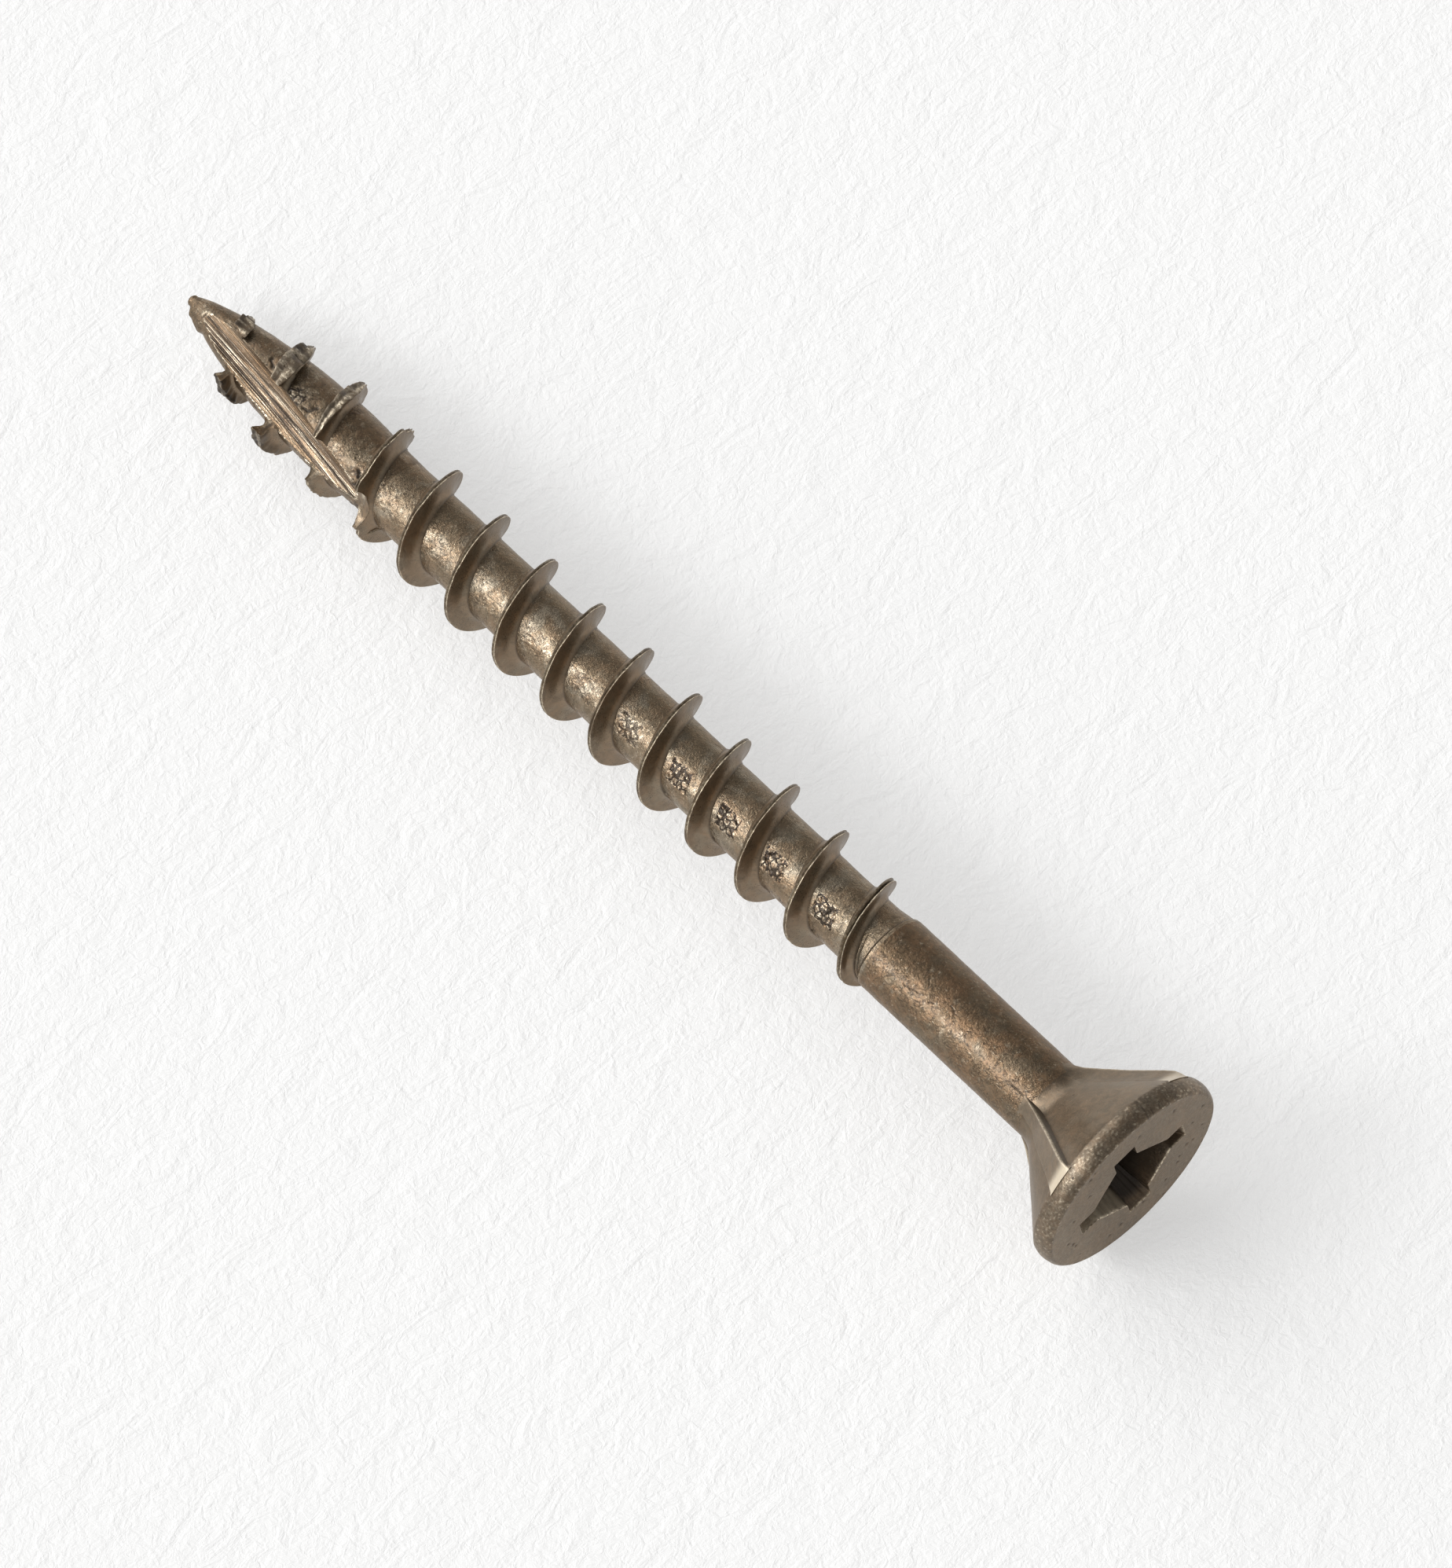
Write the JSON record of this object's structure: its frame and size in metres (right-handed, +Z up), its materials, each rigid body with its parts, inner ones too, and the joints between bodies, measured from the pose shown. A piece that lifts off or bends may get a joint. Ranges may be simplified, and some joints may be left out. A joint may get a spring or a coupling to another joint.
{
  "type": "wood screw",
  "caption": "Flat-head wood screw with a square-and-cross recess, nibs under the head, a coarse thread and a slotted self-drilling point.",
  "frame": {"origin": "centre of the flat face of the head", "axes": "+X along the screw's axis, out of the face of the head, with the tip towards -X; +Z up with the screw lying on its side"},
  "size_m": [0.0412, 0.007, 0.007],
  "materials": {
    "head_coating": "bronze-coloured baked coating on steel, worn bright along the rim",
    "shank_coating": "bronze-coloured baked coating on steel, mottled copper brown",
    "thread_coating": "bronze-coloured baked coating on rolled steel, thin and bright on the crests",
    "point_coating": "bronze-coloured coating over the cut slot, with lengthwise cutter lines"
  },
  "bodies": {
    "root": {"head": "head_coating", "underhead_nibs": "head_coating", "shank": "shank_coating", "collar": "shank_coating", "core": "thread_coating", "thread": "thread_coating", "point": "point_coating", "point_thread": "point_coating"}
  },
  "joints": []
}
